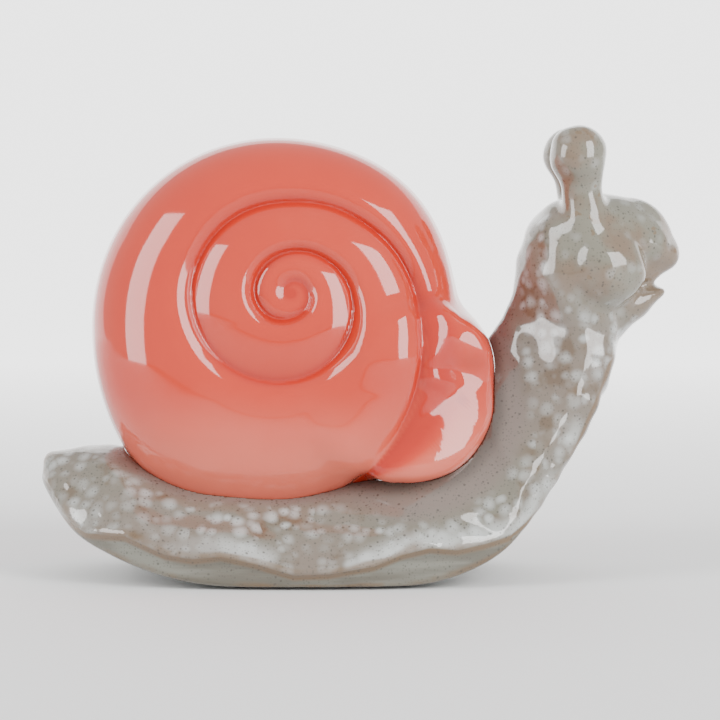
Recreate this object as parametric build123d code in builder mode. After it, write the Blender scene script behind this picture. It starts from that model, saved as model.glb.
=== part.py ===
from build123d import *
import os
from math import cos, sin, radians

# A glazed ceramic snail ornament. Two hollow castings, the body and the shell, are cemented
# together, two eye stalks are luted onto the head, and four felt pads carry it.
# The snail looks towards +X, Y is across it, and Z = 0 is the surface that it stands on.

# Body casting
body_length = 190.0
foot_width = 84.0
body_height = 92.0
body_wall = 5.0
vent_diameter = 8.0
vent_set_forward = 2.0

# Eye stalks
stalk_lean = 9.0
stalk_splay = 9.0
stalk_foot_diameter = 14.0
stalk_neck_diameter = 11.6
stalk_neck_height = 9.5
stalk_height = 28.2
eye_diameter = 16.2
stalk_clearance = 0.3

# Shell casting
shell_wall = 3.5
suture_depth = 4.0
suture_inner_width = 9.5
suture_outer_width = 5.5
lip_groove_depth = 1.2
lip_groove_inner_width = 3.5
lip_groove_outer_width = 3.5

# Joint between the castings
seat_clearance = 0.4
dab_diameter = 9.0
dab_height = 7.0
dab_sink = 1.2
dab_clearance = 0.3

# Felt pads
pad_diameter = 13.0
pad_thickness = 1.0

# Room that cutting tools run past a surface
overrun = 10.0

# The shell is cast to suit its body: its length and how far back its middle is, its height and
# how high it sits, and its width, as shares of the body's length, height and width.
shell_length_share = 0.6368
shell_back_share = 0.1316
shell_height_share = 1.1935
shell_bottom_share = 0.2261
shell_width_share = 0.7952

# Where the stalks stand: apart, forward and up, as shares of the body's width, length and height
stalk_spacing_share = 0.2262
stalk_forward_share = 0.3568
landing_height_share = 1.1543

# Rounded forms of the head: how long, wide and high they are, and how far forward and how high
# their middles are, as shares of the body's length, width and height.
lip_shares = (0.0379, 0.2381, 0.0783, 0.4600, 0.9087)
chin_shares = (0.0737, 0.2976, 0.1522, 0.4295, 0.8870)
cheek_shares = (0.0926, 0.2095, 0.1913, 0.3926, 1.0130)
head_hollow_shares = (0.1316, 0.2976, 0.2717, 0.3395, 1.0109)
cheek_spacing_share = 0.2976

# The shell's open mouth, as shares of the shell's length and width
mouth_length_share = 0.3306
mouth_width_share = 0.4000

# Where the felt pads are: apart along, apart across and back, as shares of the body's length,
# width and length.
pad_spacing_along_share = 0.2737
pad_spacing_across_share = 0.4524
pads_back_share = 0.0526

# Each row is one cross-section of the body: where its belly and its back lie in side view, as
# shares of the body's length and height, its half width as a share of half the foot's width,
# the skirt's height as a share of the section's depth, and how round it is, from the skirted
# outline at 0 to an ellipse at 1.
foot_section_shares = [
    (-0.5016, 0.304, -0.4963, 0.391, 0.14, 0.45, 0.6),
    (-0.4790, 0.217, -0.4790, 0.409, 0.36, 0.34, 0.3),
    (-0.4421, 0.136, -0.4421, 0.415, 0.60, 0.31, 0),
    (-0.3895, 0.076, -0.3895, 0.424, 0.79, 0.32, 0),
    (-0.3263, 0.033, -0.3263, 0.435, 0.91, 0.30, 0),
    (-0.2526, 0.005, -0.2526, 0.435, 0.98, 0.24, 0),
    (-0.1737, 0.000, -0.1737, 0.435, 1.00, 0.21, 0),
    (-0.0947, 0.000, -0.0947, 0.435, 1.00, 0.12, 0),
    (-0.0211, 0.000, -0.0211, 0.435, 0.99, 0.17, 0),
    (0.0526, 0.000, 0.0526, 0.457, 0.95, 0.28, 0),
    (0.1368, 0.024, 0.1053, 0.500, 0.88, 0.25, 0),
]
neck_section_shares = [
    (0.1368, 0.024, 0.1053, 0.500, 0.88, 0.25, 0),
    (0.2158, 0.092, 0.1368, 0.565, 0.76, 0.20, 0),
    (0.2737, 0.204, 0.1632, 0.652, 0.64, 0.16, 0.1),
    (0.3221, 0.348, 0.1868, 0.728, 0.55, 0.14, 0.2),
    (0.3684, 0.500, 0.2026, 0.799, 0.49, 0.13, 0.3),
    (0.4000, 0.663, 0.2211, 0.859, 0.45, 0.12, 0.4),
    (0.4158, 0.804, 0.2368, 0.924, 0.43, 0.12, 0.6),
    (0.4195, 0.880, 0.2430, 1.000, 0.45, 0.20, 0.9),
]
head_section_shares = [
    (0.4195, 0.880, 0.2430, 1.000, 0.45, 0.20, 0.9),
    (0.4242, 0.935, 0.2830, 1.180, 0.49, 0.50, 1),
    (0.4284, 0.950, 0.3330, 1.232, 0.475, 0.50, 1),
    (0.4358, 0.962, 0.3900, 1.240, 0.43, 0.50, 1),
    (0.4526, 0.974, 0.4460, 1.208, 0.36, 0.50, 1),
    (0.4763, 0.990, 0.4830, 1.155, 0.26, 0.50, 1),
    (0.4960, 1.030, 0.5010, 1.095, 0.12, 0.50, 1),
]
solid_tail_sections = 2

# Half of one body cross-section, from the belly's middle to the back's middle, as shares of
# its half width and of its depth. The skirt's edge is at a share of 1 of the half width, and
# what is above the skirt is given as a share of the depth left over it.
belly_outline_shares = [(0.0, 0.0), (0.42, 0.0), (0.80, 0.12)]
flank_outline_shares = [(1.0, 0.0), (0.90, 0.10), (0.76, 0.34), (0.46, 0.80), (0.0, 1.0)]

# Each row is one level slice of the shell: its height, how far it reaches back and forward,
# its half width, as shares of the shell's height, length and half width, and how square its
# back and its front are, where 2 is an ellipse.
shell_slice_shares = [
    (0.000, 0.205, 0.150, 0.56, 2.0, 2.2),
    (0.016, 0.250, 0.195, 0.68, 2.0, 2.4),
    (0.047, 0.295, 0.290, 0.79, 2.1, 2.7),
    (0.111, 0.350, 0.462, 0.91, 2.3, 3.2),
    (0.209, 0.403, 0.528, 0.99, 2.6, 4.0),
    (0.311, 0.436, 0.546, 1.00, 2.8, 4.0),
    (0.403, 0.452, 0.537, 0.99, 2.8, 3.2),
    (0.472, 0.456, 0.516, 0.96, 2.8, 2.8),
    (0.521, 0.455, 0.480, 0.94, 2.8, 2.8),
    (0.576, 0.450, 0.448, 0.92, 2.7, 2.9),
    (0.676, 0.426, 0.425, 0.87, 2.7, 2.8),
    (0.776, 0.381, 0.388, 0.78, 2.6, 2.5),
    (0.867, 0.311, 0.326, 0.67, 2.6, 2.5),
    (0.931, 0.232, 0.246, 0.53, 2.5, 2.4),
    (0.976, 0.146, 0.155, 0.36, 2.2, 2.2),
    (1.000, 0.070, 0.076, 0.18, 2.0, 2.0),
]
points_round_slice = 20

# The least that a slice keeps of its own size when it is drawn in
least_slice_share = 0.4

# The suture winds out from the eye of the coil: degrees turned, clockwise from straight ahead
# as seen from the snail's right, distance from the eye as a share of the coil's radius, and how
# far its gentle wall has changed over from its inside at 0 to its outside at 1.
suture_shares = [
    (45, 0.110, 0), (90, 0.138, 0), (135, 0.185, 0), (180, 0.212, 0), (225, 0.210, 0),
    (270, 0.224, 0), (315, 0.254, 0), (360, 0.313, 0), (405, 0.403, 0), (450, 0.486, 0),
    (495, 0.541, 0), (540, 0.564, 0), (585, 0.528, 0), (630, 0.489, 0), (675, 0.548, 0.2),
    (720, 0.700, 0.7), (742, 0.780, 0.9), (765, 0.905, 1), (783, 1.040, 1), (797, 1.180, 1),
]

# The coil's radius along and up, as shares of the shell's length and height, and where its eye
# is: ahead of the shell's middle as a share of its length, and up as a share of its height.
coil_reach_share = 0.4339
coil_rise_share = 0.4781
coil_eye_ahead_share = 0.0438
coil_eye_height_share = 0.5883

# How deep and how wide the suture is at the eye of the coil, and how far out it has its full size
first_depth_share = 0.7
first_width_share = 0.3
full_suture_reach_share = 0.6

# How far out and how deep the gently and the steeply rounded walls of a groove bend, and how far
# they run up past the surface, as shares of the groove's width and depth.
shoulder_reach_share = 0.36
inner_shoulder_share = 0.45
outer_shoulder_share = 0.25
wall_top_share = 0.25

# The hollow behind the shell's flared lip, from its top to its bottom in side view, as shares
# of the shell's length ahead of the coil's middle and of the shell's height.
lip_groove_shares = [(0.449, 0.53), (0.455, 0.495), (0.466, 0.455), (0.480, 0.42), (0.500, 0.39)]

# How far under the eye ball's middle its stalk meets it, as a share of the ball's diameter
eye_meeting_share = 0.36


def body_section(row, inset):
    """The plane and the outline points of one body section, drawn in by inset."""
    belly_x, belly_z, back_x, back_z, width, skirt, roundness = row
    belly = Vector(belly_x * body_length, 0, belly_z * body_height)
    back = Vector(back_x * body_length, 0, back_z * body_height)
    up = (back - belly).normalized()
    depth = (back - belly).length - 2 * inset
    half_width = width * foot_width / 2 - inset
    outline = [(across, rise * skirt) for across, rise in belly_outline_shares]
    outline += [(across, skirt + rise * (1 - skirt)) for across, rise in flank_outline_shares]
    points = []
    for index, (across, rise) in enumerate(outline):
        turn = radians(180 * index / (len(outline) - 1))
        across += roundness * (sin(turn) - across)
        rise += roundness * ((1 - cos(turn)) / 2 - rise)
        points.append((across * half_width, rise * depth))
    points += [(-across, rise) for across, rise in reversed(points[1:-1])]
    return Plane(origin=belly + up * inset, x_dir=(0, 1, 0), z_dir=(up.Z, 0, -up.X)), points


def body_form(section_groups, inset):
    """The body lofted through groups of sections, drawn in by inset on every side."""
    with BuildPart() as form:
        for rows in section_groups:
            for row in rows:
                section, points = body_section(row, inset)
                with BuildSketch(section):
                    with BuildLine():
                        Spline(points, periodic=True)
                    make_face()
            loft()
    return form.part


def shell_slices(grow):
    """The shell's level slices, larger by grow on every side."""
    slices = []
    for height, back, front, width, back_squareness, front_squareness in shell_slice_shares:
        level = shell_bottom + height * shell_height + grow * (2 * height - 1)
        reaches = [
            max(reach + grow, reach * least_slice_share)
            for reach in (back * shell_length, front * shell_length, width * shell_width / 2)
        ]
        slices.append((level, *reaches, back_squareness, front_squareness))
    return slices


def shell_form(grow):
    """The shell's outer form without its sutures, larger by grow on every side."""
    with BuildPart() as form:
        for level, back, front, half_width, back_squareness, front_squareness in shell_slices(grow):
            points = []
            for count in range(points_round_slice):
                turn = radians(360 * count / points_round_slice)
                ahead = cos(turn) > 0
                power = 2 / (front_squareness if ahead else back_squareness)
                reach = (front if ahead else back) * abs(cos(turn)) ** power
                across = half_width * abs(sin(turn)) ** power
                x = -shell_back + (reach if ahead else -reach)
                points.append((x, across if sin(turn) > 0 else -across))
            with BuildSketch(Plane.XY.offset(level)):
                with BuildLine():
                    Spline(points, periodic=True)
                make_face()
        loft()
    return form.part


def shell_side(x, z):
    """How far the shell's side stands out from its middle plane at one point in side view."""
    slices = shell_slices(0)
    for lower, upper in zip(slices, slices[1:]):
        if lower[0] <= z <= upper[0]:
            blend = (z - lower[0]) / (upper[0] - lower[0])
            back, front, half_width, back_squareness, front_squareness = (
                low + blend * (high - low) for low, high in zip(lower[1:], upper[1:])
            )
            offset = x + shell_back
            power = front_squareness if offset > 0 else back_squareness
            share = min(1, abs(offset) / (front if offset > 0 else back))
            return half_width * (1 - share ** power) ** (1 / power)
    return 0


def side_normal(x, z, step):
    """The outward direction of the shell's right side at one point in side view."""
    slope_x = (shell_side(x + step, z) - shell_side(x - step, z)) / (2 * step)
    slope_z = (shell_side(x, z + step) - shell_side(x, z - step)) / (2 * step)
    return Vector(-slope_x, -1, -slope_z).normalized()


def groove(route, depths, inner_widths, outer_widths):
    """A groove along a route in side view, for the shell's right side: its wall on the inside of
    the coil is gently rounded and the one on the outside is steep."""
    step = suture_depth / 2
    stations = [Vector(x, -shell_side(x, z), z) for x, z in route]
    with BuildPart() as tool:
        for index, (x, z) in enumerate(route):
            before = stations[max(index - 1, 0)]
            after = stations[min(index + 1, len(route) - 1)]
            along = (after - before).normalized()
            outward = side_normal(x, z, step)
            across = outward.cross(along).normalized()
            depth = depths[index]
            inner = -inner_widths[index]
            outer = outer_widths[index]
            inner_shoulder = (inner * shoulder_reach_share, -depth * inner_shoulder_share)
            outer_shoulder = (outer * shoulder_reach_share, -depth * outer_shoulder_share)
            top = depth * wall_top_share
            with BuildSketch(Plane(origin=stations[index], x_dir=across, z_dir=along)):
                with BuildLine():
                    ThreePointArc((inner, top), inner_shoulder, (0, -depth))
                    ThreePointArc((0, -depth), outer_shoulder, (outer, top))
                    Polyline((outer, top), (outer, 2 * depth), (inner, 2 * depth), (inner, top))
                make_face()
        loft()
    return tool.part


def rounded_form(shares, across=0):
    """A ball stretched to its shares of the body's length, width and height, in its place."""
    long, wide, high, forward, rise = shares
    length = long * body_length
    with BuildPart() as ball:
        Sphere(length / 2)
        scale(by=(1, wide * foot_width / length, high * body_height / length))
    return Pos(forward * body_length, across, rise * body_height) * ball.part


def stalk_plane(side):
    """The flat landing of one eye stalk on the head: side is -1 on the right, 1 on the left."""
    lean = radians(stalk_lean)
    splay = radians(stalk_splay)
    up = Vector(-sin(lean), side * sin(splay), cos(lean)).normalized()
    origin = (stalk_forward, side * stalk_spacing / 2, landing_height)
    return Plane(origin=origin, x_dir=(0, 1, 0), z_dir=up)


# Sizes that follow from the body's
shell_length = shell_length_share * body_length
shell_back = shell_back_share * body_length
shell_height = shell_height_share * body_height
shell_bottom = shell_bottom_share * body_height
shell_width = shell_width_share * foot_width
mouth_length = mouth_length_share * shell_length
mouth_width = mouth_width_share * shell_width
stalk_spacing = stalk_spacing_share * foot_width
stalk_forward = stalk_forward_share * body_length
landing_height = landing_height_share * body_height
cheek_spacing = cheek_spacing_share * foot_width

# Shell
coil_eye_x = -shell_back + coil_eye_ahead_share * shell_length
coil_eye_z = shell_bottom + coil_eye_height_share * shell_height
suture_route = []
suture_depths = []
suture_inner_widths = []
suture_outer_widths = []
for degrees_turned, reach_share, changed in suture_shares:
    turn = radians(degrees_turned)
    suture_route.append((
        coil_eye_x + reach_share * coil_reach_share * shell_length * cos(turn),
        coil_eye_z - reach_share * coil_rise_share * shell_height * sin(turn),
    ))
    grown = min(1, reach_share / full_suture_reach_share)
    width_share = first_width_share + (1 - first_width_share) * grown
    wider = (suture_inner_width - suture_outer_width) * changed
    suture_depths.append(suture_depth * (first_depth_share + (1 - first_depth_share) * grown))
    suture_inner_widths.append((suture_inner_width - wider) * width_share)
    suture_outer_widths.append((suture_outer_width + wider) * width_share)
suture = groove(suture_route, suture_depths, suture_inner_widths, suture_outer_widths)

lip_route = [
    (-shell_back + ahead * shell_length, shell_bottom + rise * shell_height)
    for ahead, rise in lip_groove_shares
]
lip_groove = groove(
    lip_route,
    [lip_groove_depth] * len(lip_route),
    [lip_groove_inner_width] * len(lip_route),
    [lip_groove_outer_width] * len(lip_route),
)

shell_outside = shell_form(0)
shell_inside = shell_form(-shell_wall - suture_depth)
mouth_middle = (-shell_back, 0)

with BuildPart() as shell:
    add(shell_outside)
    for tool in (suture, lip_groove):
        add(tool, mode=Mode.SUBTRACT)
        add(mirror(tool, about=Plane.XZ, mode=Mode.PRIVATE), mode=Mode.SUBTRACT)
    add(shell_inside, mode=Mode.SUBTRACT)
    with BuildSketch(Plane.XY.offset(shell_bottom - overrun)):
        with Locations(mouth_middle):
            Ellipse(mouth_length / 2, mouth_width / 2)
    extrude(amount=2 * overrun + shell_wall + suture_depth, mode=Mode.SUBTRACT)
shell.part.label = "shell"

# Body: foot, neck and head in one casting, with a saddle that the shell beds into
seat = shell_form(seat_clearance)
seat_with_wall = shell_form(seat_clearance + body_wall)
body_outside = body_form((foot_section_shares, neck_section_shares, head_section_shares), 0)
body_inside = body_form((foot_section_shares[solid_tail_sections:], neck_section_shares), body_wall)
dab_places = {
    "front": (-shell_back + mouth_length / 2, 0),
    "rear": (-shell_back - mouth_length / 2, 0),
    "left": (-shell_back, mouth_width / 2),
    "right": (-shell_back, -mouth_width / 2),
}
dab_floor = shell_bottom - seat_clearance - dab_sink
vent_place = (-shell_back + vent_set_forward, 0)
head_forms = [rounded_form(chin_shares), rounded_form(lip_shares)]
for side in (-1, 1):
    head_forms.append(rounded_form(cheek_shares, side * cheek_spacing / 2))
head_inside = rounded_form(head_hollow_shares)

with BuildPart() as body:
    add(body_outside)
    for form in head_forms:
        add(form)
    add(seat, mode=Mode.SUBTRACT)
    with BuildSketch(Plane.XY.offset(pad_thickness - overrun)):
        Rectangle(2 * body_length, 2 * foot_width)
    extrude(amount=overrun, mode=Mode.SUBTRACT)
    for side in (-1, 1):
        with BuildSketch(stalk_plane(side)):
            Circle(stalk_foot_diameter / 2 + stalk_clearance)
        extrude(amount=overrun, mode=Mode.SUBTRACT)
    with BuildSketch(Plane.XY.offset(dab_floor)):
        with Locations(*dab_places.values()):
            Circle(dab_diameter / 2 + dab_clearance)
    extrude(amount=overrun, mode=Mode.SUBTRACT)

with BuildPart() as hollow:
    add(body_inside)
    add(seat_with_wall, mode=Mode.SUBTRACT)
    add(head_inside)
    with BuildSketch(Plane.XY.offset(pad_thickness - overrun)):
        with Locations(vent_place):
            Circle(vent_diameter / 2)
    extrude(amount=overrun + 2 * body_wall)

with BuildPart() as cast_body:
    add(body.part)
    add(hollow.part, mode=Mode.SUBTRACT)
cast_body.part.label = "body"

# Eye stalks, each turned in one piece with its eye ball
stalks = {}
eye_rise = stalk_height - eye_diameter / 2
meeting_rise = eye_rise - eye_meeting_share * eye_diameter
meeting_radius = (eye_diameter ** 2 / 4 - (eye_rise - meeting_rise) ** 2) ** (1 / 2)
for name, side in (("right", -1), ("left", 1)):
    landing = stalk_plane(side)
    facing = landing.x_dir.cross(landing.z_dir)
    profile = Plane(origin=landing.origin, x_dir=landing.x_dir, z_dir=facing)
    with BuildPart() as stalk:
        with BuildSketch(profile):
            with BuildLine():
                Line((0, 0), (stalk_foot_diameter / 2, 0))
                Spline(
                    (stalk_foot_diameter / 2, 0),
                    (stalk_neck_diameter / 2, stalk_neck_height),
                    (meeting_radius, meeting_rise),
                )
                ThreePointArc(
                    (meeting_radius, meeting_rise),
                    (eye_diameter / 2, eye_rise),
                    (0, stalk_height),
                )
                Line((0, stalk_height), (0, 0))
            make_face()
        revolve(axis=Axis(landing.origin, landing.z_dir))
    stalk.part.label = f"eye_stalk_{name}"
    stalks[name] = stalk.part

# Cement dabs, each in a round spot of the saddle, squeezed up inside the shell's mouth
dabs = {}
for name, place in dab_places.items():
    with BuildPart() as dab:
        with BuildSketch(Plane.XY.offset(dab_floor)):
            with Locations(place):
                Circle(dab_diameter / 2)
        extrude(amount=dab_sink + seat_clearance - dab_clearance)
        with BuildSketch(Plane.XY.offset(dab_floor)):
            with Locations(place):
                Circle(dab_diameter / 2)
            with Locations(mouth_middle):
                Ellipse(
                    mouth_length / 2 - dab_clearance,
                    mouth_width / 2 - dab_clearance,
                    mode=Mode.INTERSECT,
                )
        extrude(amount=dab_height)
    dab.part.label = f"cement_dab_{name}"
    dabs[name] = dab.part

# Felt pads under the foot
pads = {}
for end, forward in (("front", 1), ("rear", -1)):
    for name, side in (("left", 1), ("right", -1)):
        along = (forward * pad_spacing_along_share / 2 - pads_back_share) * body_length
        across = side * pad_spacing_across_share * foot_width / 2
        with BuildPart() as pad:
            with BuildSketch():
                with Locations((along, across)):
                    Circle(pad_diameter / 2)
            extrude(amount=pad_thickness)
        pad.part.label = f"felt_pad_{end}_{name}"
        pads[f"{end}_{name}"] = pad.part

os.makedirs("parts", exist_ok=True)
pieces = [shell.part, cast_body.part, *stalks.values(), *dabs.values(), *pads.values()]
for piece in pieces:
    export_step(piece, f"parts/{piece.label}.step")
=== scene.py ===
from math import cos, pi, radians, sin
import bmesh
import bpy
import numpy as np
from mathutils import Matrix, Vector


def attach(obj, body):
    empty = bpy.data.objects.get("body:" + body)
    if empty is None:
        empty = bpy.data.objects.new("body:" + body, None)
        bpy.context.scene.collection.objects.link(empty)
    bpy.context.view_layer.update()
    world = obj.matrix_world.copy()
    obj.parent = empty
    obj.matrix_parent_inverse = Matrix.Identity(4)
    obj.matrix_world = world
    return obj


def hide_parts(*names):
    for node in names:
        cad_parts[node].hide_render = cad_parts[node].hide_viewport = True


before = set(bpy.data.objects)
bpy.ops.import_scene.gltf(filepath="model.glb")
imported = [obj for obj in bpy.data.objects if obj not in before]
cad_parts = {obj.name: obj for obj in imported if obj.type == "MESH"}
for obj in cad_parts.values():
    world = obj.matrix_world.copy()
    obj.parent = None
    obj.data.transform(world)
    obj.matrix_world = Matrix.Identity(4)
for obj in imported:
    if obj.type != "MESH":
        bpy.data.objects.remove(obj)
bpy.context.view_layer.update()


# Shell
# The spiral shell: one hollow slip-cast piece with a flared lip, glazed glossy coral. Its form is
# worked out in mm as a disc-like coil joined to a blunter lip, and its whorls swell between the
# turns of one suture that winds out from the eye of the coil.
mm_per_metre = 1000
coil_middle = (-25.5, 76.2)
coil_radius = 54.3
coil_levels = [15, 22, 35, 45, 55, 65, 76, 98, 110, 131]
coil_half_widths = [22, 25, 28, 29, 29, 28.5, 27.5, 26.5, 25.5, 23]
coil_steepness = 30

# How square the coil is: over its flanks, over its rim, and in the blunt part of the rim
flank_power = 2.15
coil_power = 2.2
rim_power = 2.25
added_blunt_power = 6.5

# Where the coil's rim is blunter or fuller: the turn round its middle in degrees, 0 towards the
# head and 90 at the top, how many degrees that reaches before and past it, and by how many mm
blunt_part = (-38, 92, 34)
blunt_fade = (180, 140)
low_part = (-115, 38, 38)
low_fullness = 7.5
top_part = (42, 26, 26)
top_fullness = 2.1
front_part = (-27, 28, 38)
front_fullness = 2.0
front_fade = (19, 6)

# The lip's middle and half sizes, upper and lower, and the narrower collar over it
lip_middle = (21.0, 53.0)
lip_reach = 19.6
lip_rise = 27.0
lip_low_middle = (14.5, 55.5)
lip_low_reach = 26.5
lip_half_width = 26.6
collar_half_width = 23.0
upper_lip_levels = (42, 66)
collar_levels = (55, 68)

# How round the lip is in side view and how blunt its edge is, at the lip and at the collar
lip_roundness = 2.1
added_upper_roundness = 0.8
lip_edge_power = 11
collar_edge_power = 22
lip_face_power = 2.5

# How much the lip's face leans in, for each mm towards the head and upwards
lip_tilt = 0.04
lip_upward_tilt = 0.50
tilt_start = (18, 43)
tilt_low_end = -10
untilted_levels = (68, 56)
union_softness = 2.1
shell_floor = 21.0

# The suture in side view, in steps of 0.29 mm from the eye of the coil
eye_of_coil = (-19.7, 85.4)
side_step = 0.29
suture_turns = np.radians([
    -360, -270, -180, -90, 0, 45, 90, 135, 180, 225, 270, 315, 360, 405, 450, 495, 540, 585,
    630, 675, 720, 742, 765, 785, 795, 830,
])
suture_reach = side_step * np.array([
    0.5, 2, 5.5, 10.5, 15.4, 20, 25, 33.5, 38.4, 38.5, 40.5, 46, 59, 73, 88, 98, 102, 95.5,
    88.5, 98, 122, 139, 164, 190, 206, 262,
])
fine_turns = np.radians(np.arange(-360, 831, 1.0))
fine_reach = np.interp(fine_turns, suture_turns, suture_reach)
evened_over = 25
for evening in range(2):
    padded = np.pad(fine_reach, evened_over // 2, mode="reflect", reflect_type="odd")
    fine_reach = np.convolve(padded, np.ones(evened_over) / evened_over, mode="valid")
fine_slant = np.gradient(fine_reach, fine_turns) / fine_reach


def smooth_rise(low, high, value):
    """0 under low, 1 over high and a soft step in between."""
    share = np.clip((value - low) / (high - low), 0, 1)
    return share * share * (3 - 2 * share)


def mix(first, second, share):
    """The first number where the share is 0 and the second where it is 1."""
    return first + (second - first) * share


def degrees_past(turned, turn):
    """How many degrees a turn lies past another one, from -180 to 180."""
    return (turned - turn + 180) % 360 - 180


def hump(turned, turn, reach_before, reach_past):
    """1 at a turn, with a soft fall before and past it."""
    past = degrees_past(turned, turn)
    return np.exp(-(past / np.where(past > 0, reach_past, reach_before)) ** 2)


def shell_level(x, y, z):
    """About how many mm a point is outside the shell's form, negative inside it."""
    along = x - coil_middle[0]
    up = z - coil_middle[1]
    reach = np.hypot(along, up)
    turned = np.degrees(np.arctan2(up, along))
    off_blunt = np.abs(degrees_past(turned, blunt_part[0]))
    blunt = hump(turned, *blunt_part)
    power = rim_power + added_blunt_power * blunt * smooth_rise(*blunt_fade, off_blunt)
    radius = coil_radius + low_fullness * hump(turned, *low_part)
    radius += top_fullness * hump(turned, *top_part)
    past_front = degrees_past(turned, front_part[0])
    radius += front_fullness * hump(turned, *front_part) * smooth_rise(*front_fade, past_front)
    half_width = np.interp(z, coil_levels, coil_half_widths)
    coil = (reach / radius) ** power + (np.abs(y) / half_width) ** flank_power
    coil = (coil ** (1 / coil_power) - 1) * coil_steepness
    upper_lip = smooth_rise(*upper_lip_levels, z)
    lip_x = mix(lip_low_middle[0], lip_middle[0], upper_lip)
    lip_z = mix(lip_low_middle[1], lip_middle[1], upper_lip)
    along_reach = mix(lip_low_reach, lip_reach, upper_lip)
    roundness = lip_roundness + added_upper_roundness * upper_lip
    outline = (np.abs(x - lip_x) / along_reach) ** roundness
    outline = (outline + (np.abs(z - lip_z) / lip_rise) ** roundness) ** (1 / roundness)
    collar = smooth_rise(*collar_levels, z)
    half_width = mix(lip_half_width, collar_half_width, collar)
    tilt = lip_tilt * np.maximum(x - tilt_start[0], 0)
    tilt += lip_upward_tilt * np.maximum(z - tilt_start[1], tilt_low_end)
    across = np.maximum(np.abs(y) + tilt * smooth_rise(*untilted_levels, z), 0)
    edge_power = mix(lip_edge_power, collar_edge_power, collar)
    lip = (outline ** edge_power + (across / half_width) ** lip_face_power) ** (1 / edge_power)
    lip = (lip - 1) * lip_reach
    return -union_softness * np.log(np.exp(-coil / union_softness) + np.exp(-lip / union_softness))


def solve(outside, low, high, halvings=34):
    """Where outside(t) turns from negative to positive, by halving."""
    for halving in range(halvings):
        middle = (low + high) / 2
        is_outside = outside(middle) > 0
        high = np.where(is_outside, middle, high)
        low = np.where(is_outside, low, middle)
    return (low + high) / 2


# The shell's outline round the eye of the coil, and where the collar ends the last whorl
outline_turns = np.radians(np.arange(0, 361, 1.0))
outline_reach = solve(
    lambda t: shell_level(
        eye_of_coil[0] + t * np.cos(outline_turns), 0 * t, eye_of_coil[1] - t * np.sin(outline_turns)
    ),
    np.full_like(outline_turns, 2.0),
    np.full_like(outline_turns, 120.0),
)
collar_turns = [0, 10, 19, 30, 46, 58, 290, 325, 345, 360]
collar_line = [167, 176, 180, 182, 200, 500, 500, 330, 175, 167]
collar_reach = side_step * np.interp(np.degrees(outline_turns), collar_turns, collar_line)
collar_reach = np.minimum(outline_reach, collar_reach)

# The upper end of the lip's open face, whose whorl runs out to the shell's outline
lip_face_places = [18, 28.5, 32, 36.6, 41]
lip_face_levels = [60, 60.5, 60.5, 63.5, 67]
lip_face_softness = 3.5
lip_face_start = 10

# How high the whorls swell between two turns of the suture: by a share of their width, between
# two heights in mm, flatter on the lip, and fading out at the eye of the coil
swell_share = 0.21
least_swell = 0.3
most_swell = 4.4
lip_flattening = 1.2
full_swell_reach = (0.5, 9)

# Where the ridge of a whorl lies between the turn inside it and the turn outside it, and how
# steeply it rises to the ridge and falls off past it. It changes where the suture, counted in
# degrees of its whole turn, runs out into the flare of the lip
ridge_share = 0.26
outer_ridge_gain = 0.05
outer_ridge_turns = (690, 720)
flared_ridge_gain = 0.17
flare_turns = (742, 775)
steep_power = 2.4
flared_steep_loss = 0.8
gentle_power = 2.1
outer_gentle_gain = 2.6
outer_gentle_start = (650, 740)
outer_gentle_end = (803, 788)
lip_gentle_power = 1.15
lip_gentle_turns = (740, 760)


def suture_position(x, z):
    """Where points in side view lie between two turns of the suture: their distance and turn
    round the eye, and the distance and the whole turn of the suture inside and outside them."""
    far = 1000.0
    reach = np.hypot(x - eye_of_coil[0], z - eye_of_coil[1])
    turned = np.arctan2(eye_of_coil[1] - z, x - eye_of_coil[0]) % (2 * pi)
    inner = np.zeros_like(reach)
    inner_turn = turned - 2 * pi
    outer = np.full_like(reach, far)
    outer_turn = turned + 6 * pi
    for winding in range(-1, 3):
        at = turned + winding * 2 * pi
        radius = np.where(at > fine_turns[-1], far, np.interp(at, fine_turns, fine_reach))
        inner_turn = np.where((radius <= reach) & (radius > inner), at, inner_turn)
        inner = np.where(radius <= reach, np.maximum(inner, radius), inner)
        outer_turn = np.where((radius > reach) & (radius < outer), at, outer_turn)
        outer = np.where(radius > reach, np.minimum(outer, radius), outer)
    return reach, turned, inner, inner_turn, outer, outer_turn


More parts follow.
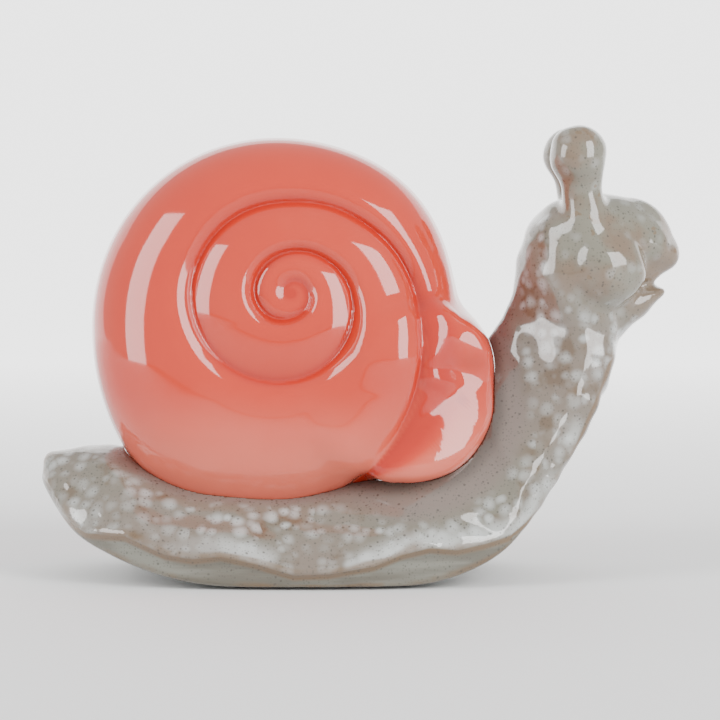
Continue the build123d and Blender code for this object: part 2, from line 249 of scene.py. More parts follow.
def whorl_swell(x, z):
    """How many mm the whorls stand out from the shell's form at a point in side view."""
    reach, turned, inner, inner_turn, outer, outer_turn = suture_position(x, z)
    above_face = z - np.interp(x, lip_face_places, lip_face_levels)
    on_face = smooth_rise(lip_face_softness, -lip_face_softness, above_face) * (x > lip_face_start)
    limit = np.interp(turned, outline_turns, collar_reach)
    limit = mix(limit, np.interp(turned, outline_turns, outline_reach), on_face)
    is_last = outer > limit
    outer = np.where(is_last, np.maximum(limit, inner + 2), outer)
    width = outer - inner
    share = np.clip((reach - inner) / width, 0, 1)
    swell = np.clip(swell_share * width, least_swell, most_swell - lip_flattening * on_face * is_last)
    inner_degrees = np.degrees(inner_turn)
    outer_degrees = np.degrees(outer_turn)
    flare = smooth_rise(*flare_turns, inner_degrees)
    ridge = ridge_share + outer_ridge_gain * smooth_rise(*outer_ridge_turns, inner_degrees)
    ridge += flared_ridge_gain * flare
    rise_power = steep_power - flared_steep_loss * flare
    steep = 1 - (1 - np.clip(share / ridge, 0, 1)) ** rise_power
    outermost = outer_gentle_gain * smooth_rise(*outer_gentle_start, outer_degrees)
    fall_power = gentle_power + outermost * smooth_rise(*outer_gentle_end, outer_degrees)
    by_lip = smooth_rise(*lip_gentle_turns, inner_degrees)
    fall_power += (lip_gentle_power - fall_power) * on_face * by_lip
    gentle = 1 - np.clip((share - ridge) / (1 - ridge), 0, 1) ** fall_power
    profile = np.where(share < ridge, steep, gentle)
    return swell * profile * smooth_rise(*full_swell_reach, reach)


def move_points(mesh, places):
    """Puts each point of a bmesh at its new place."""
    for vert, co in zip(mesh.verts, places):
        vert.co = co


def soften(mesh, verts, passes):
    """Evens some points of a bmesh out with their neighbours, a few times over."""
    for smoothing in range(passes):
        bmesh.ops.smooth_vert(
            mesh, verts=verts, factor=0.5, use_axis_x=True, use_axis_y=True, use_axis_z=True
        )


# What is softened on the shell: all of it, the fold under the lip, the notch over the collar, and
# the lip in four nested rounds, each from low to high along and from low to high up
fine_cuts = 118
far_off = 500
whole_shell = (-far_off, far_off, -far_off, far_off)
fold_under_lip = (0, 20, -far_off, 45)
notch_over_collar = (14, 26, 68, 88)
lip_rounds = [
    (18, far_off, 46, 82), (20, far_off, 50, 79), (22, far_off, 54, 76), (24, far_off, 57, 72),
]
fold_passes = 3
lip_passes = 5

# The ball is flatter from side to side than it is long, and near the suture its points move onto
# the suture's line, within about a mm and only on the flanks
ball_flatness = 0.62
suture_pull = 1.1
flank_start = (5, 9)
pull_start = (3, 6)
swelling_slope = (0.05, 0.5)


def shell_points(cuts, grow):
    """A ball of quads pressed into the shell's form, grown by some mm, as a new mesh."""
    ball = bmesh.new()
    bmesh.ops.create_cube(ball, size=2)
    bmesh.ops.subdivide_edges(ball, edges=ball.edges[:], cuts=cuts, use_grid_fill=True)
    way = np.tan(np.array([vert.co for vert in ball.verts]) * pi / 4)
    way *= np.array([1, ball_flatness, 1])
    way /= np.linalg.norm(way, axis=1)[:, None]
    dx, dy, dz = way.T
    reach = solve(
        lambda t: shell_level(coil_middle[0] + t * dx, t * dy, coil_middle[1] + t * dz),
        np.full(len(dx), 3.0),
        np.full(len(dx), 110.0),
    )
    x = coil_middle[0] + reach * dx
    y = reach * dy
    z = coil_middle[1] + reach * dz

    # Points near the suture are drawn onto its line, so that it runs along edges
    reach, turned, inner, inner_turn, outer, outer_turn = suture_position(x, z)
    use_inner = reach - inner < outer - reach
    off = reach - np.where(use_inner, inner, outer)
    slant = np.interp(np.where(use_inner, inner_turn, outer_turn), fine_turns, fine_slant)
    stretch = np.sqrt(1 + slant ** 2)
    off /= stretch
    flank = smooth_rise(*flank_start, np.abs(y))
    pull = -off * np.exp(-(off / suture_pull) ** 2) * flank * smooth_rise(*pull_start, reach)
    reach += pull / stretch
    turned -= pull * slant / stretch / np.maximum(reach, 1)
    x = np.where(flank > 0, eye_of_coil[0] + reach * np.cos(turned), x)
    z = np.where(flank > 0, eye_of_coil[1] - reach * np.sin(turned), z)
    side = np.sign(y)
    again = solve(lambda t: shell_level(x, t, z), np.zeros(len(x)), np.full(len(x), 60.0))
    y = np.where(flank > 0, side * again, y)

    # The whorls swell along the form's own slope
    step = 0.4
    slope = np.array([
        shell_level(x + step, y, z) - shell_level(x - step, y, z),
        shell_level(x, y + step, z) - shell_level(x, y - step, z),
        shell_level(x, y, z + step) - shell_level(x, y, z - step),
    ])
    slope /= np.linalg.norm(slope, axis=0)
    swell = whorl_swell(x, z) * smooth_rise(*swelling_slope, np.abs(slope[1]))
    x += slope[0] * (swell + grow)
    y += slope[1] * (swell + grow)
    z += slope[2] * (swell + grow)
    z = np.maximum(z, shell_floor - grow)
    move_points(ball, np.array([x, y, z]).T)

    # All the parts are chosen before the first is softened, and a coarser ball needs fewer passes
    rounds = [(whole_shell, 1), (fold_under_lip, fold_passes), (notch_over_collar, fold_passes)]
    for lip_round in lip_rounds:
        rounds.append((lip_round, round(lip_passes * (cuts / fine_cuts) ** 2)))
    chosen = []
    for (back, front, low, high), passes in rounds:
        part = [vert for vert in ball.verts if back < vert.co.x < front and low < vert.co.z < high]
        chosen.append((part, passes))
    for part, passes in chosen:
        soften(ball, part, passes)
    return ball


# The small blister on the lip's near side: a pit whose ring holds deeper glaze
blister_middle = (29.9, 53.8)
blister_radius = 0.9
blister_depth = 0.45
blister_ring_width = 0.6
blister_ring_glaze = 0.6
shell_mesh = shell_points(fine_cuts, 0)
shell_place = np.array([vert.co for vert in shell_mesh.verts])
off_blister = np.hypot(shell_place[:, 0] - blister_middle[0], shell_place[:, 2] - blister_middle[1])
on_near_side = shell_place[:, 1] < 0
shell_place[:, 1] += on_near_side * blister_depth * np.exp(-(off_blister / blister_radius) ** 2)
move_points(shell_mesh, shell_place)

# How deep the glaze lies: more in the outer whorl's valley and along the suture, and less low down,
# where the coral is paled as a painted reflection of the white floor
pool_width = 1.3
floor_reflection_levels = (60, 30)
valley_start = (0.01, 0.12)
valley_end = (0.62, 0.28)
valley_turns = (700, 735)
valley_glaze = 0.8
suture_values = suture_position(shell_place[:, 0], shell_place[:, 2])
eye_reach, eye_turn, reach_inside, turn_inside, reach_outside = suture_values[:5]
edge_reach = np.interp(eye_turn, outline_turns, outline_reach)
whorl_width = np.maximum(np.minimum(reach_outside, edge_reach) - reach_inside, 1)
whorl_share = (eye_reach - reach_inside) / whorl_width
valley = smooth_rise(*valley_start, whorl_share) * smooth_rise(*valley_end, whorl_share)
valley *= smooth_rise(*valley_turns, np.degrees(turn_inside))
off_suture = np.minimum(eye_reach - reach_inside, reach_outside - eye_reach)
pooled = np.exp(-(off_suture / pool_width) ** 2)
# Painted reflection of the white floor: the coral pales from 60 mm down to 30 mm, outside the valley
floor_reflection = smooth_rise(*floor_reflection_levels, shell_place[:, 2]) * (1 - valley)
glaze_depth_and_floor_light = 0.5 - 0.5 * floor_reflection + 0.5 * np.maximum(valley_glaze * valley, pooled * (1 - floor_reflection))
blister_ring = np.exp(-((off_blister - blister_radius) / blister_ring_width) ** 2)
glaze_depth_and_floor_light += on_near_side * blister_ring_glaze * blister_ring


def to_metres(mesh):
    """Brings a bmesh from mm to metres and shades it smooth."""
    mesh.transform(Matrix.Scale(1 / mm_per_metre, 4))
    for face in mesh.faces:
        face.smooth = True


def add_object(name, mesh):
    """Puts a finished bmesh into the scene as an object of this name."""
    data = bpy.data.meshes.new(name)
    mesh.to_mesh(data)
    mesh.free()
    item = bpy.data.objects.new(name, data)
    bpy.context.collection.objects.link(item)
    return item


def keep_values(data, name, values):
    """Keeps one number for each point of a mesh, which its material reads by this name."""
    layer = data.attributes.new(name, "FLOAT", "POINT")
    layer.data.foreach_set("value", values.astype(np.float32))


def add_finish(name, settings):
    """A new material with these settings on its shader."""
    material = bpy.data.materials.new(name)
    material.use_nodes = True
    for socket, value in settings.items():
        material.node_tree.nodes["Principled BSDF"].inputs[socket].default_value = value
    return material


to_metres(shell_mesh)
shell = add_object("shell_glazed", shell_mesh)
keep_values(shell.data, "glaze_depth_and_floor_light", glaze_depth_and_floor_light)

# Pale coral for the painted reflection of the white floor low down, true coral, and the red of deep
# glaze
floor_reflection_coral = (0.60, 0.120, 0.074, 1)
true_coral = (0.50, 0.038, 0.016, 1)
deep_coral = (0.43, 0.020, 0.008, 1)
coral = add_finish("coral_glaze", {
    "Roughness": 0.07, "IOR": 1.5, "Coat Weight": 0.3, "Coat Roughness": 0.02,
})
coral_nodes = coral.node_tree.nodes
coral_links = coral.node_tree.links
coral_place = coral_nodes.new("ShaderNodeTexCoord")
clouds = coral_nodes.new("ShaderNodeTexNoise")
clouds.inputs["Scale"].default_value = 28
clouds.inputs["Detail"].default_value = 3
coral_links.new(coral_place.outputs["Object"], clouds.inputs["Vector"])
depth_and_floor_light_value = coral_nodes.new("ShaderNodeAttribute")
depth_and_floor_light_value.attribute_name = "glaze_depth_and_floor_light"
clouded = coral_nodes.new("ShaderNodeMath")
clouded.operation = "MULTIPLY_ADD"
clouded.inputs[1].default_value = 0.3
coral_links.new(clouds.outputs["Fac"], clouded.inputs[0])
coral_links.new(depth_and_floor_light_value.outputs["Fac"], clouded.inputs[2])
tint = coral_nodes.new("ShaderNodeValToRGB")
tint.color_ramp.elements[0].position = 0.15
tint.color_ramp.elements[0].color = floor_reflection_coral
tint.color_ramp.elements[1].position = 1.1
tint.color_ramp.elements[1].color = deep_coral
tint.color_ramp.elements.new(0.65).color = true_coral
coral_links.new(clouded.outputs["Value"], tint.inputs["Fac"])
coral_links.new(tint.outputs["Color"], coral_nodes["Principled BSDF"].inputs["Base Color"])
shell.data.materials.append(coral)
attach(shell, "root")
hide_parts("shell")


# Body with its eye stalks
# The foot, neck and head are one slip casting, and the two stalks are luted on under the same
# reactive grey glaze, so they are one glazed surface here. Sections in mm are joined into a
# skin, the head's rounded forms are fused with it, and the shell's bed is cut out of it.

# Each section from tail to nose: its belly (along, up), its back (along, up), its half width, the
# share of its depth that the skirt takes, and how far it is from that profile to a plain round
body_sections = [
    (-95.3, 28.0, -94.3, 36.0, 5.5, 0.45, 0.7),
    (-91.0, 22.0, -91.0, 37.6, 15.1, 0.40, 0.3),
    (-84.0, 15.0, -84.0, 38.2, 25.2, 0.34, 0),
    (-74.0, 9.5, -74.0, 39.0, 33.2, 0.34, 0),
    (-62.0, 4.8, -62.0, 35.8, 38.4, 0.32, 0),
    (-48.0, 1.4, -48.0, 33.0, 41.0, 0.26, 0),
    (-33.0, 0.0, -33.0, 32.8, 42.0, 0.21, 0),
    (-18.0, 0.0, -18.0, 33.0, 42.0, 0.12, 0),
    (-4.0, 0.0, -4.0, 34.5, 41.6, 0.17, 0),
    (10.0, 0.0, 10.0, 38.5, 40.4, 0.27, 0),
    (26.0, 2.4, 20.0, 47.0, 38.4, 0.25, 0),
    (40.5, 9.0, 26.5, 54.0, 33.6, 0.20, 0),
    (51.0, 19.0, 31.5, 61.0, 28.0, 0.16, 0.1),
    (60.4, 32.2, 36.5, 68.0, 23.1, 0.14, 0.2),
    (69.0, 46.4, 40.5, 74.0, 20.6, 0.13, 0.3),
    (74.6, 59.5, 43.5, 79.0, 18.9, 0.12, 0.4),
    (77.0, 69.0, 45.5, 85.0, 18.0, 0.12, 0.6),
    (78.6, 78.0, 46.6, 92.0, 18.9, 0.20, 0.9),
    (80.2, 84.0, 50.5, 105.0, 19.6, 0.50, 1),
    (81.0, 87.0, 60.0, 112.6, 19.6, 0.50, 1),
    (82.4, 88.8, 71.0, 114.4, 16.0, 0.50, 1),
    (85.6, 89.8, 82.0, 112.0, 12.0, 0.50, 1),
    (90.0, 91.2, 89.5, 106.4, 9.0, 0.50, 1),
    (93.0, 94.5, 94.0, 99.5, 4.0, 0.50, 1),
]

# The wavy edge of the foot's skirt, up to where the neck rises
skirt_places = [-96, -90, -80, -68, -56, -48, -40, -30, -19, -9, 4, 12, 20, 28, 36, 44]
skirt_levels = [27, 21, 15.5, 15.5, 10.5, 9.4, 10.4, 8.2, 4.8, 5.2, 7.4, 10.6, 12.4, 11.6, 13, 15]
foot_end = 50
least_skirt = 0.08
most_skirt = 0.5


def curve_between(before, start, end, after, steps):
    """Rows on a smooth curve from start up to end, in even steps."""
    made = []
    for step in range(steps):
        t = step / steps
        made.append(0.5 * (
            2 * start + (end - before) * t + (2 * before - 5 * start + 4 * end - after) * t ** 2
            + (3 * start - before - 3 * end + after) * t ** 3
        ))
    return made


def glide(rows, steps):
    """Rows of numbers with smooth in-between rows, through every given row."""
    rows = np.array(rows, float)
    ends = np.vstack([2 * rows[0] - rows[1], rows, 2 * rows[-1] - rows[-2]])
    filled = []
    for index in range(1, len(ends) - 2):
        filled += curve_between(*ends[index - 1:index + 3], steps)
    filled.append(rows[-1])
    return np.array(filled)


def section_ring(row):
    """The points of one closed section of the body."""
    belly_x, belly_z, back_x, back_z, half_width, skirt, plainness = row
    belly = np.array([belly_x, 0, belly_z])
    back = np.array([back_x, 0, back_z])
    depth = np.linalg.norm(back - belly)
    up = (back - belly) / depth
    if belly_x < foot_end:
        skirt = (np.interp(belly_x, skirt_places, skirt_levels) - belly_z) / depth
    skirt = min(max(skirt, least_skirt), most_skirt)
    over = 1 - skirt

    # From the middle of the belly, out round the skirt and up to the middle of the back
    half = [
        (0.0, 0.0), (0.50, 0.0), (0.88, 0.03 * skirt), (0.935, 0.35 * skirt), (0.94, 0.80 * skirt),
        (1.0, skirt), (0.985, skirt + 0.06 * over), (0.93, skirt + 0.16 * over),
        (0.79, skirt + 0.38 * over), (0.48, skirt + 0.78 * over), (0.0, 1.0),
    ]
    points = []
    for index, (across, rise) in enumerate(half):
        turn = pi * index / (len(half) - 1)
        across += plainness * (sin(turn) - across)
        rise += plainness * ((1 - cos(turn)) / 2 - rise)
        points.append((across, rise))
    ring = np.array(points + [(-across, rise) for across, rise in reversed(points[1:-1])])
    wrapped = np.vstack([ring[-1:], ring, ring[:2]])
    smooth_ring = []
    for index in range(1, len(ring) + 1):
        smooth_ring += curve_between(*wrapped[index - 1:index + 3], 5)
    smooth_ring = np.array(smooth_ring)
    across = smooth_ring[:, 0:1] * half_width
    rise = smooth_ring[:, 1:2] * depth
    return belly + across * np.array([0, 1, 0]) + rise * up


def add_tube(mesh, rings):
    """A closed skin through rings of points, extruded one ring at a time."""
    made = bmesh.ops.create_circle(mesh, segments=len(rings[0]), radius=1, cap_ends=True)
    loop = made["verts"]
    for vert, co in zip(loop, rings[0]):
        vert.co = co
    edges = [edge for edge in mesh.edges if edge.verts[0] in loop and edge.verts[1] in loop]
    for ring in rings[1:]:
        grown = bmesh.ops.extrude_edge_only(mesh, edges=edges)["geom"]
        edges = [item for item in grown if isinstance(item, bmesh.types.BMEdge)]
        fresh = [item for item in grown if isinstance(item, bmesh.types.BMVert)]
        old = {}
        for vert in fresh:
            for edge in vert.link_edges:
                other = edge.other_vert(vert)
                if other not in fresh:
                    old[other] = vert
        loop = [old[vert] for vert in loop]
        for vert, co in zip(loop, ring):
            vert.co = co
    bmesh.ops.contextual_create(mesh, geom=edges)


body_mesh = bmesh.new()
add_tube(body_mesh, [section_ring(row) for row in glide(body_sections, 4)])

# The head's rounded forms: two cheeks, the brow between them and the muzzle, each with its middle,
# its half sizes and how far it noses down, in degrees
cheek_sizes = (13.0, 11.6, 12.8)
head_forms = [
    ((71.4, 11.2, 92.2), cheek_sizes, 0),
    ((71.4, -11.2, 92.2), cheek_sizes, 0),
    ((79.8, 0, 98.8), (14.0, 9.4, 14.0), 0),
    ((86.4, 0, 97.4), (9.6, 7.4, 7.2), 18),
]
for middle, sizes, nose_down in head_forms:
    ball = bmesh.ops.create_uvsphere(body_mesh, u_segments=40, v_segments=24, radius=1)["verts"]
    bmesh.ops.scale(body_mesh, vec=sizes, verts=ball)
    bmesh.ops.rotate(body_mesh, matrix=Matrix.Rotation(radians(nose_down), 3, "Y"), verts=ball)
    bmesh.ops.translate(body_mesh, vec=middle, verts=ball)

# The wedge-shaped lower lip: how far along, how high, and its half height and half width
round_turns = np.linspace(0, 2 * pi, 36, endpoint=False)
jaw_sections = [
    (68, 78.0, 10.0, 12.0), (74, 77.6, 9.2, 12.0), (79, 79.2, 7.4, 10.6), (84, 81.8, 5.0, 8.6),
    (88, 83.4, 2.8, 6.8), (90.4, 84.6, 1.6, 5.0), (91.4, 84.9, 0.8, 3.0),
]
jaw_rings = []
for jaw_x, jaw_z, half_height, half_width in glide(jaw_sections, 3):
    jaw_rings.append([
        Vector((jaw_x, half_width * cos(turn), jaw_z + half_height * sin(turn)))
        for turn in round_turns
    ])
add_tube(body_mesh, jaw_rings)

# The eye stalks: the distance up the stalk and the radius there, from the flared foot to the knob
stalk_profile = [
    (-5, 10.6), (-2.5, 10.0), (0, 8.9), (2.5, 7.6), (5, 6.6), (8, 6.0), (10, 5.9), (12, 6.2),
    (14, 7.0), (16.5, 8.2), (20.0, 8.7), (23.5, 7.9), (26, 6.0), (27.8, 3.4), (28.4, 1.0),
]
stalk_foot = (66.6, 9.5, 106.2)
stalk_lean = radians(7)
stalk_splay = radians(9)
for side in (-1, 1):
    axis = Vector((-sin(stalk_lean), side * sin(stalk_splay), cos(stalk_splay))).normalized()
    foot = Vector((stalk_foot[0], side * stalk_foot[1], stalk_foot[2]))
    forward = Vector((0, 1, 0)).cross(axis).normalized()
    sideways = axis.cross(forward)
    stalk_rings = []
    for height, radius in glide(stalk_profile, 2):
        middle = foot + axis * height
        stalk_rings.append([
            middle + (forward * cos(turn) + sideways * sin(turn)) * radius for turn in round_turns
        ])
    add_tube(body_mesh, stalk_rings)
bmesh.ops.recalc_face_normals(body_mesh, faces=body_mesh.faces[:])
body = add_object("body_glazed", body_mesh)


def apply_modifiers(item):
    """Puts the result of an object's modifiers into its own mesh."""
    graph = bpy.context.evaluated_depsgraph_get()
    result = bpy.data.meshes.new_from_object(item.evaluated_get(graph))
    item.modifiers.clear()
    item.data = result
    return result


# The forms are fused into one skin and softened as wet clay is, the head more than the rest
skin_grain = 0.9
skin_passes = 5
head_passes = 2
head_start = 40
head_level = 78
skin = body.modifiers.new("skin", "REMESH")
skin.mode = "VOXEL"
skin.voxel_size = skin_grain
body_data = apply_modifiers(body)
body_mesh = bmesh.new()
body_mesh.from_mesh(body_data)
soften(body_mesh, body_mesh.verts[:], skin_passes)
head_verts = [vert for vert in body_mesh.verts if vert.co.z > head_level and vert.co.x > head_start]
soften(body_mesh, head_verts, head_passes)

# A faint ripple of the hand-finished surface, dying out at the skirt's edge and round the bed:
# waves with their length in mm, their turn round and up in radians, and their phase
ripple_waves = [
    (13, 0.4, 0.3, 0.0), (11, 1.5, 0.9, 1.7), (9, 2.5, -0.6, 3.1), (15, 3.4, -0.2, 4.4),
    (8, 0.9, 1.2, 5.2),
]
ripple_height = 0.11
ripple_over_skirt = (-1, 3)
ripple_off_bed = (3, 9)
skirt_end = 48
clear_of_skirt = 5
pad_height = 1.0
body_place = np.array([vert.co for vert in body_mesh.verts])
body_mesh.normal_update()
body_normals = np.array([vert.normal for vert in body_mesh.verts])
ripple = np.zeros(len(body_place))
for length, turn, climb, phase in ripple_waves:
    travel = np.array([cos(turn) * cos(climb), sin(turn) * cos(climb), sin(climb)])
    ripple += np.sin(body_place @ travel * 2 * pi / length + phase)
over_skirt = body_place[:, 2] - np.interp(body_place[:, 0], skirt_places, skirt_levels)
over_skirt = np.where(body_place[:, 0] < skirt_end, over_skirt, clear_of_skirt)
ripple *= ripple_height * smooth_rise(*ripple_over_skirt, over_skirt)
ripple *= smooth_rise(*ripple_off_bed, shell_level(*body_place.T))
body_place += body_normals * ripple[:, None]
body_place[:, 2] = np.maximum(body_place[:, 2], pad_height)
move_points(body_mesh, body_place)
body_mesh.to_mesh(body_data)
body_mesh.free()

# The bed is cut by the shell's own form, grown by the width of the dark seam
seam_width = 0.15
bed_cuts = 78
cutter = add_object("bed_cutter", shell_points(bed_cuts, seam_width))
bed_cut = body.modifiers.new("bed", "BOOLEAN")
bed_cut.operation = "DIFFERENCE"
bed_cut.solver = "EXACT"
bed_cut.object = cutter
body_data = apply_modifiers(body)
bpy.data.objects.remove(cutter)
body_mesh = bmesh.new()
body_mesh.from_mesh(body_data)
to_metres(body_mesh)
body_mesh.to_mesh(body_data)
body_mesh.free()

# What the glaze follows: how far a point bulges past its evened-out neighbours, its distance from
# the bed, its height over the skirt's edge or its distance behind the neck's front edge, and how
# far it is on the head, whose lower end slopes from the neck to the chin
point_count = len(body_data.vertices)
body_place = np.empty(point_count * 3)
body_data.vertices.foreach_get("co", body_place)
body_place = body_place.reshape(-1, 3) * mm_per_metre
body_normals = np.empty(point_count * 3)
body_data.vertices.foreach_get("normal", body_normals)
body_normals = body_normals.reshape(-1, 3)
edge_ends = np.empty(len(body_data.edges) * 2, int)
body_data.edges.foreach_get("vertices", edge_ends)
edge_ends = edge_ends.reshape(-1, 2)
neighbours = np.bincount(edge_ends.ravel(), minlength=point_count)
bulge_passes = 10
relaxed = body_place.copy()
for evening in range(bulge_passes):
    total = np.zeros_like(relaxed)
    for axis_index in range(3):
        for here, there in ((0, 1), (1, 0)):
            total[:, axis_index] += np.bincount(
                edge_ends[:, here], relaxed[edge_ends[:, there], axis_index], point_count
            )
    relaxed = total / np.maximum(neighbours, 1)[:, None]
bulge_values = np.einsum("ij,ij->i", body_normals, body_place - relaxed)
bed_values = shell_level(*body_place.T)
body_x = body_place[:, 0]
body_z = body_place[:, 2]
neck_start = 44
most_over_skirt = 20
neck_edge_levels = [12, 15, 18, 22, 27, 32, 38, 50, 56, 64, 70, 76]
neck_edge_places = [36, 44, 48, 52.5, 56.5, 59.5, 62.5, 67.5, 70.5, 73, 79, 95]
behind_neck_edge = np.interp(body_z, neck_edge_levels, neck_edge_places) - body_x
over_skirt = body_z - np.interp(body_x, skirt_places, skirt_levels)
skirt_values = np.where(body_x > neck_start, behind_neck_edge, over_skirt)
head_values = smooth_rise(76, 97, body_z + 0.25 * body_x - 12)
head_values *= smooth_rise(52, 60, body_x)
keep_values(body_data, "bulge", bulge_values)
keep_values(body_data, "bed", bed_values)
keep_values(body_data, "skirt", np.minimum(skirt_values, most_over_skirt))
keep_values(body_data, "head", head_values)

grey = add_finish("grey_reactive_glaze", {
    "Roughness": 0.1, "IOR": 1.5, "Coat Weight": 0.6, "Coat Roughness": 0.03,
})
grey_nodes = grey.node_tree.nodes
grey_links = grey.node_tree.links
grey_place = grey_nodes.new("ShaderNodeTexCoord")


def read(name):
    """A value that the body keeps for each of its points."""
    node = grey_nodes.new("ShaderNodeAttribute")
    node.attribute_name = name
    return node.outputs["Fac"]


def noise(scale, detail=2.0):
    """A grey noise pattern of about 1 / scale metres."""
    node = grey_nodes.new("ShaderNodeTexNoise")
    node.inputs["Scale"].default_value = scale
    node.inputs["Detail"].default_value = detail
    grey_links.new(grey_place.outputs["Object"], node.inputs["Vector"])
    return node.outputs["Fac"]


def spread(value, low, high, to_low=0.0, to_high=1.0):
    """A value carried smoothly from one range to another."""
    node = grey_nodes.new("ShaderNodeMapRange")
    node.interpolation_type = "SMOOTHSTEP"
    grey_links.new(value, node.inputs["Value"])
    node.inputs["From Min"].default_value = low
    node.inputs["From Max"].default_value = high
    node.inputs["To Min"].default_value = to_low
    node.inputs["To Max"].default_value = to_high
    return node.outputs["Result"]


def combine(operation, first, second):
    """One value made of two, or of a value and a number."""
    node = grey_nodes.new("ShaderNodeMath")
    node.operation = operation
    grey_links.new(first, node.inputs[0])
    if isinstance(second, (int, float)):
        node.inputs[1].default_value = second
    else:
        grey_links.new(second, node.inputs[1])
    return node.outputs["Value"]


def times(first, second):
    """One value times another value or a number."""
    return combine("MULTIPLY", first, second)


def blend(mask, first, second):
    """The first colour where the mask is 0 and the second where it is 1."""
    node = grey_nodes.new("ShaderNodeMix")
    node.data_type = "RGBA"
    grey_links.new(mask, node.inputs["Factor"])
    for socket, colour in ((node.inputs[6], first), (node.inputs[7], second)):
        if isinstance(colour, tuple):
            socket.default_value = (*colour, 1)
        else:
            grey_links.new(colour, socket)
    return node.outputs[2]


# Places pushed about by up to 2.2 mm, so that the spots aren't true circles
wobble = grey_nodes.new("ShaderNodeTexNoise")
wobble.inputs["Scale"].default_value = 160
grey_links.new(grey_place.outputs["Object"], wobble.inputs["Vector"])
wobbled = grey_nodes.new("ShaderNodeVectorMath")
wobbled.operation = "MULTIPLY_ADD"
wobbled.inputs[1].default_value = (0.0022,) * 3
grey_links.new(wobble.outputs["Color"], wobbled.inputs[0])
grey_links.new(grey_place.outputs["Object"], wobbled.inputs[2])


def dots(scale, edge, core, rare_low, rare_high):
    """Round spots, one to a cell of 1 / scale metres, from the pale edge in to the full core, and
    fewer where rare_low and rare_high rise."""
    cells = grey_nodes.new("ShaderNodeTexVoronoi")
    cells.inputs["Scale"].default_value = scale
    cells.inputs["Randomness"].default_value = 0.9
    grey_links.new(wobbled.outputs["Vector"], cells.inputs["Vector"])
    parts = grey_nodes.new("ShaderNodeSeparateColor")
    grey_links.new(cells.outputs["Color"], parts.inputs["Color"])
    chance = spread(parts.outputs["Red"], rare_low, rare_high)
    return times(spread(cells.outputs["Distance"], edge, core), chance)


# Glaze colours, from the ground to what breaks through it, and two painted tones by the shell's bed:
# a pinkish reflection and a dark shadow
warm_grey = (0.165, 0.135, 0.108)
green_grey = (0.150, 0.140, 0.108)
head_grey = (0.172, 0.162, 0.125)
head_brown = (0.165, 0.118, 0.080)
shell_reflection_pink_grey = (0.165, 0.128, 0.112)
under_dark = (0.100, 0.092, 0.070)
under_pale = (0.165, 0.165, 0.135)
break_brown = (0.105, 0.066, 0.035)
spot_white = (0.40, 0.42, 0.41)
pool_white = (0.46, 0.48, 0.47)
edge_brown = (0.135, 0.076, 0.032)
fleck_brown = (0.15, 0.088, 0.042)
pinhole_dark = (0.045, 0.038, 0.030)
shell_contact_shadow_dark = (0.050, 0.042, 0.034)

bulge = read("bulge")
bed = read("bed")
skirt = read("skirt")
head = read("head")
off_head = spread(head, 1.0, 0.0)
spotted = times(times(spread(bed, 5.0, 10.0), spread(skirt, -0.6, 1.0)), off_head)

# The ground: grey in broad clouds, browner patches on the head, plainer and pinkish grey by the bed
# as a painted reflection of the coral shell, and dragged streaks under the skirt's edge
ground = blend(spread(noise(22, 3), 0.35, 0.65), warm_grey, green_grey)
head_ground = blend(spread(noise(60, 3), 0.45, 0.62), head_grey, head_brown)
ground = blend(head, ground, head_ground)
# Painted reflection: the ground turns a pinkish grey within about 4 to 9 mm of the shell's bed
ground = blend(times(spread(bed, 9.0, 4.0), 0.8), ground, shell_reflection_pink_grey)
stretched = grey_nodes.new("ShaderNodeMapping")
stretched.inputs["Scale"].default_value = (0.25, 0.6, 2.4)
grey_links.new(grey_place.outputs["Object"], stretched.inputs["Vector"])
streaks = grey_nodes.new("ShaderNodeTexNoise")
streaks.inputs["Scale"].default_value = 90
streaks.inputs["Detail"].default_value = 3
grey_links.new(stretched.outputs["Vector"], streaks.inputs["Vector"])
streak_ground = blend(spread(streaks.outputs["Fac"], 0.40, 0.62), under_dark, under_pale)
ground = blend(spread(skirt, -1.0, -2.5), ground, streak_ground)

# Brown breaks between white spots, which are faint on the head, and white pools over the skirt
breaks = times(spread(noise(110, 3), 0.54, 0.66), spotted)
glaze_colour = blend(times(breaks, 0.65), ground, break_brown)
spots = combine("MAXIMUM", dots(190, 0.58, 0.10, 0.02, 0.25), dots(250, 0.54, 0.10, 0.25, 0.60))
spots = times(times(spots, spotted), spread(noise(48), 0.32, 0.56, 0.45))
faint_spots = times(dots(210, 0.50, 0.12, 0.35, 0.60), times(head, 0.28))
spots = combine("MAXIMUM", times(spots, 0.78), faint_spots)
glaze_colour = blend(spots, glaze_colour, spot_white)
pools = times(spread(skirt, 7.5, 2.0), spread(noise(38), 0.40, 0.58))
glaze_colour = blend(times(times(pools, spotted), 0.75), glaze_colour, pool_white)

# Brown where the glaze runs thin: on sharp edges, and in a line under the skirt's edge
thin_edges = times(spread(bulge, 0.16, 0.45), spread(noise(90, 3), 0.35, 0.62, 0.2))
thin_edges = times(thin_edges, off_head)
thin_line = times(spread(skirt, 0.4, -0.4), spread(skirt, -2.4, -1.2))
thin_edges = combine("MAXIMUM", times(thin_edges, 0.7), times(thin_line, 0.8))
glaze_colour = blend(thin_edges, glaze_colour, edge_brown)
flecks = times(spread(noise(210, 2), 0.64, 0.68), head)
glaze_colour = blend(times(flecks, 0.6), glaze_colour, fleck_brown)

# Pinholes and finer speckle everywhere, and painted shadow that darkens the body next to the shell's
# bed
pinholes = times(dots(620, 0.30, 0.12, 0.45, 0.50), spread(noise(35), 0.30, 0.50, 0.4))
speckle = times(dots(1150, 0.42, 0.16, 0.40, 0.55), 0.35)
pinholes = combine("MAXIMUM", times(pinholes, 0.65), speckle)
glaze_colour = blend(pinholes, glaze_colour, pinhole_dark)
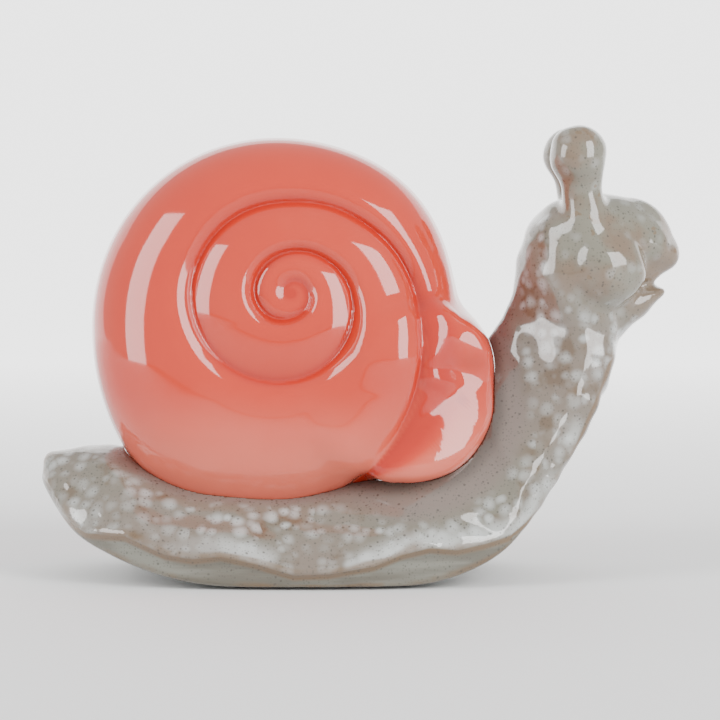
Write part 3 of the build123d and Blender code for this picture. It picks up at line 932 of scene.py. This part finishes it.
# Painted contact shadow: darkest within about 3 mm of the shell's bed
glaze_colour = blend(times(spread(bed, 3.2, 0.2), 0.6), glaze_colour, shell_contact_shadow_dark)
grey_links.new(glaze_colour, grey_nodes["Principled BSDF"].inputs["Base Color"])
body_data.materials.clear()
body_data.materials.append(grey)
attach(body, "root")
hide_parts("body", "eye_stalk_left", "eye_stalk_right")


# Cement dabs
# Four dabs of dull adhesive inside the shell's mouth hold it in its bed. They are the CAD's own
# solids with a dry, pale finish.
def finish_solid(node, material):
    """Gives a solid of the frame this material."""
    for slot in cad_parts[node].material_slots:
        slot.material = material


cement = add_finish("dry_cement", {"Base Color": (0.75, 0.72, 0.66, 1), "Roughness": 0.9})
for dab_place in ("front", "rear", "left", "right"):
    finish_solid(f"cement_dab_{dab_place}", cement)


# Felt pads
# Four discs of pressed black felt, stuck on under the foot, keep the glaze off the furniture. They
# are the CAD's own solids.
felt = add_finish("pressed_felt", {"Base Color": (0.03, 0.03, 0.03, 1), "Roughness": 1})
for pad_place in ("front_left", "front_right", "rear_left", "rear_right"):
    finish_solid(f"felt_pad_{pad_place}", felt)


# Floor, light and camera
# A plain white sweep under a soft studio light: two tall softboxes beside the camera in a bright
# room, and a long lens that looks level across the snail's right side.
sweep_half_size = 3
bend_start = 1.0
bend_radius = 0.6
floor_mesh = bmesh.new()
bmesh.ops.create_grid(floor_mesh, x_segments=1, y_segments=48, size=sweep_half_size)
for vert in floor_mesh.verts:
    past = vert.co.y - bend_start
    if past > 0:
        turn = min(past / bend_radius, pi / 2)
        vert.co.y = bend_start + bend_radius * sin(turn)
        vert.co.z = bend_radius * (1 - cos(turn)) + max(0, past - bend_radius * pi / 2)
for face in floor_mesh.faces:
    face.smooth = True
floor = add_object("floor", floor_mesh)

# The paper's colour is greyer in front, painted shade where the light falls off, and it glows
# brighter towards the back as painted light, by its distance along y
paper = add_finish("white_sweep", {"Roughness": 0.8, "Emission Color": (1, 1, 1, 1)})
paper_nodes = paper.node_tree.nodes
paper_links = paper.node_tree.links
paper_place = paper_nodes.new("ShaderNodeTexCoord")
paper_axes = paper_nodes.new("ShaderNodeSeparateXYZ")
paper_links.new(paper_place.outputs["Object"], paper_axes.inputs["Vector"])
for near, far, near_value, far_value, socket in (
    (-1.2, -0.15, 0.35, 0.78, "Base Color"), (0.1, 1.0, 0.0, 1.7, "Emission Strength"),
):
    fade = paper_nodes.new("ShaderNodeMapRange")
    fade.inputs["From Min"].default_value = near
    fade.inputs["From Max"].default_value = far
    fade.inputs["To Min"].default_value = near_value
    fade.inputs["To Max"].default_value = far_value
    paper_links.new(paper_axes.outputs["Y"], fade.inputs["Value"])
    paper_links.new(fade.outputs["Result"], paper_nodes["Principled BSDF"].inputs[socket])
floor.data.materials.append(paper)

world = bpy.data.worlds.new("studio")
bpy.context.scene.world = world
world.use_nodes = True
world.node_tree.nodes["Background"].inputs["Color"].default_value = (1, 1, 1, 1)
world.node_tree.nodes["Background"].inputs["Strength"].default_value = 0.98

softbox_aim = Vector((0, 0, 0.12))
for name, lamp_place, size, watts in (
    ("softbox_left", (-1.25, -0.62, 0.60), (0.6, 1.25), 21),
    ("softbox_right", (1.0, -0.95, 0.60), (0.75, 1.25), 32),
):
    lamp_data = bpy.data.lights.new(name, "AREA")
    lamp_data.shape = "RECTANGLE"
    lamp_data.size, lamp_data.size_y = size
    lamp_data.energy = watts
    lamp = bpy.data.objects.new(name, lamp_data)
    lamp.location = lamp_place
    lamp.rotation_euler = (softbox_aim - Vector(lamp_place)).to_track_quat("-Z", "Y").to_euler()
    bpy.context.collection.objects.link(lamp)

camera_data = bpy.data.cameras.new("camera")
camera_data.lens = 141.7
camera_data.clip_start = 0.05
camera = bpy.data.objects.new("camera", camera_data)
camera.location = (0, -0.8484, 0.1160)
camera.rotation_euler = (radians(86.5), 0, 0)
bpy.context.collection.objects.link(camera)
bpy.context.scene.camera = camera
